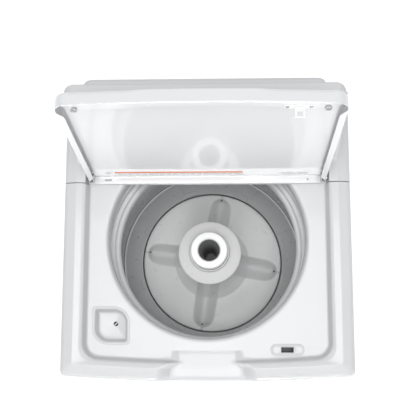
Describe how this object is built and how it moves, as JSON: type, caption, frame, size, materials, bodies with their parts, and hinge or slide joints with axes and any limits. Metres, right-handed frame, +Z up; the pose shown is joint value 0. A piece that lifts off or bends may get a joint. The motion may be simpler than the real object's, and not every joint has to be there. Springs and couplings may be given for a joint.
{
  "type": "top load washing machine",
  "caption": "White top load washing machine with open lid, round tub opening, agitator, steel basket, rear control console, spring-hung tub and belt drive.",
  "frame": {"origin": "on the floor, under the middle of the machine's footprint", "axes": "+Z up, -Y towards the user (front), +X to the user's right"},
  "size_m": [0.686, 0.68, 1.3303],
  "materials": {
    "white_enamel": "glossy white baked enamel",
    "white_plastic": "white moulded plastic, satin gloss",
    "white_gloss": "high gloss white enamel",
    "pale_plastic": "pale grey moulded polypropylene",
    "grey_plastic": "mid grey moulded polypropylene, satin",
    "dark_plastic": "black moulded plastic",
    "stainless": "brushed stainless steel",
    "bright_steel": "bright plated steel",
    "zinc_steel": "galvanised sheet steel",
    "cast_alloy": "cast aluminium alloy",
    "rubber": "black rubber",
    "board_green": "green printed circuit board",
    "black_enamel": "black enamel"
  },
  "bodies": {
    "cabinet": {"cabinet_shell": "white_enamel", "rear_panel": "zinc_steel", "base_frame": "zinc_steel", "top_cover": "white_enamel", "rear_deck": "white_enamel", "bleach_dispenser": "white_plastic", "lid_lock_bezel": "white_plastic", "lid_lock_housing": "dark_plastic", "lid_hinge_left": "bright_steel", "lid_hinge_right": "bright_steel", "console_fascia": "white_plastic", "console_back": "white_plastic", "control_board": "board_green", "suspension_rod_front_left": "bright_steel", "suspension_rod_front_right": "bright_steel", "suspension_rod_rear_left": "bright_steel", "suspension_rod_rear_right": "bright_steel", "suspension_spring_front_left": "bright_steel", "suspension_spring_front_right": "bright_steel", "suspension_spring_rear_left": "bright_steel", "suspension_spring_rear_right": "bright_steel", "inlet_valve": "white_plastic", "fill_hose": "rubber", "drain_hose": "pale_plastic"},
    "foot_front_left": {"leveling_foot_front_left": "rubber"},
    "foot_front_right": {"leveling_foot_front_right": "rubber"},
    "foot_rear_left": {"leveling_foot_rear_left": "rubber"},
    "foot_rear_right": {"leveling_foot_rear_right": "rubber"},
    "lid": {"lid_shell": "white_gloss", "lid_strike": "white_plastic", "lid_bumper_left": "pale_plastic", "lid_bumper_right": "pale_plastic"},
    "lock_bolt": {"lid_lock_bolt": "pale_plastic"},
    "cycle_knob": {"cycle_knob": "white_plastic"},
    "temperature_knob": {"temperature_knob": "white_plastic"},
    "soil_knob": {"soil_knob": "white_plastic"},
    "load_knob": {"load_knob": "white_plastic"},
    "start_button": {"start_button": "pale_plastic"},
    "tub": {"outer_tub": "pale_plastic", "tub_cover_ring": "pale_plastic", "tub_platform": "zinc_steel", "tub_bearing": "bright_steel", "tub_seal": "rubber", "gearcase": "cast_alloy", "motor": "black_enamel", "drive_belt": "rubber", "drain_pump": "dark_plastic", "pump_hose": "rubber"},
    "basket": {"wash_basket": "stainless", "basket_hub": "cast_alloy", "balance_ring": "pale_plastic", "spin_tube": "bright_steel"},
    "agitator": {"agitator": "grey_plastic", "agitator_shaft": "bright_steel", "agitator_bolt": "bright_steel", "softener_dispenser": "white_plastic"},
    "funnel": {"softener_funnel": "white_plastic"},
    "drive_pulley": {"drive_pulley": "cast_alloy"},
    "motor_pulley": {"motor_pulley": "bright_steel"},
    "pump_rotor": {"pump_rotor": "pale_plastic"}
  },
  "joints": [
    {"name": "foot_front_left_turn", "type": "hinge", "parent": "cabinet", "child": "foot_front_left", "pos_m": [-0.305, -0.292, 0.029], "axis": [0, 0, 1], "range_deg": [-360, 0]},
    {"name": "foot_front_right_turn", "type": "hinge", "parent": "cabinet", "child": "foot_front_right", "pos_m": [0.305, -0.292, 0.029], "axis": [0, 0, 1], "range_deg": [-360, 0]},
    {"name": "foot_rear_left_turn", "type": "hinge", "parent": "cabinet", "child": "foot_rear_left", "pos_m": [-0.305, 0.304, 0.029], "axis": [0, 0, 1], "range_deg": [-360, 0]},
    {"name": "foot_rear_right_turn", "type": "hinge", "parent": "cabinet", "child": "foot_rear_right", "pos_m": [0.305, 0.304, 0.029], "axis": [0, 0, 1], "range_deg": [-360, 0]},
    {"name": "lid_hinge", "type": "hinge", "parent": "cabinet", "child": "lid", "pos_m": [0, 0.142, 0.905], "axis": [1, 0, 0], "range_deg": [0, 99.5]},
    {"name": "lock_bolt_slide", "type": "slide", "parent": "cabinet", "child": "lock_bolt", "axis": [0, -1, 0], "range_m": [0, 0.013]},
    {"name": "cycle_knob_turn", "type": "hinge", "parent": "cabinet", "child": "cycle_knob", "pos_m": [0.17, 0.221, 1.0104], "axis": [0, -0.8999, 0.4361], "continuous": true},
    {"name": "temperature_knob_turn", "type": "hinge", "parent": "cabinet", "child": "temperature_knob", "pos_m": [-0.205, 0.221, 1.0104], "axis": [0, -0.8999, 0.4361], "range_deg": [-120, 120]},
    {"name": "soil_knob_turn", "type": "hinge", "parent": "cabinet", "child": "soil_knob", "pos_m": [-0.125, 0.221, 1.0104], "axis": [0, -0.8999, 0.4361], "range_deg": [-120, 120]},
    {"name": "load_knob_turn", "type": "hinge", "parent": "cabinet", "child": "load_knob", "pos_m": [-0.045, 0.221, 1.0104], "axis": [0, -0.8999, 0.4361], "range_deg": [-120, 120]},
    {"name": "start_button_press", "type": "slide", "parent": "cabinet", "child": "start_button", "axis": [0, 0.8999, -0.4361], "range_m": [0, 0.003], "stiffness_N_per_m": 300, "springref_m": -0.002},
    {"name": "tub_bounce", "type": "slide", "parent": "cabinet", "child": "tub", "axis": [0, 0, 1], "range_m": [-0.012, 0.006], "stiffness_N_per_m": 8000, "springref_m": 0.0527, "deforming": ["suspension_spring_front_left", "suspension_spring_front_right", "suspension_spring_rear_left", "suspension_spring_rear_right"]},
    {"name": "basket_spin", "type": "hinge", "parent": "tub", "child": "basket", "pos_m": [0, -0.015, 0.5], "axis": [0, 0, 1], "continuous": true},
    {"name": "agitator_turn", "type": "hinge", "parent": "tub", "child": "agitator", "pos_m": [0, -0.015, 0.5], "axis": [0, 0, 1], "continuous": true},
    {"name": "funnel_lift", "type": "slide", "parent": "agitator", "child": "funnel", "axis": [0, 0, 1], "range_m": [0, 0.12]},
    {"name": "drive_pulley_turn", "type": "hinge", "parent": "tub", "child": "drive_pulley", "pos_m": [0, -0.015, 0.149], "axis": [0, 0, 1], "continuous": true},
    {"name": "motor_pulley_turn", "type": "hinge", "parent": "tub", "child": "motor_pulley", "pos_m": [0, 0.15, 0.149], "axis": [0, 0, 1], "continuous": true},
    {"name": "pump_rotor_turn", "type": "hinge", "parent": "tub", "child": "pump_rotor", "pos_m": [-0.15, -0.145, 0.225], "axis": [0, 1, 0], "continuous": true}
  ],
  "couplings": [
    {"joint": "drive_pulley_turn", "follows": "agitator_turn", "ratio": 1},
    {"joint": "motor_pulley_turn", "follows": "agitator_turn", "ratio": 5.348}
  ]
}
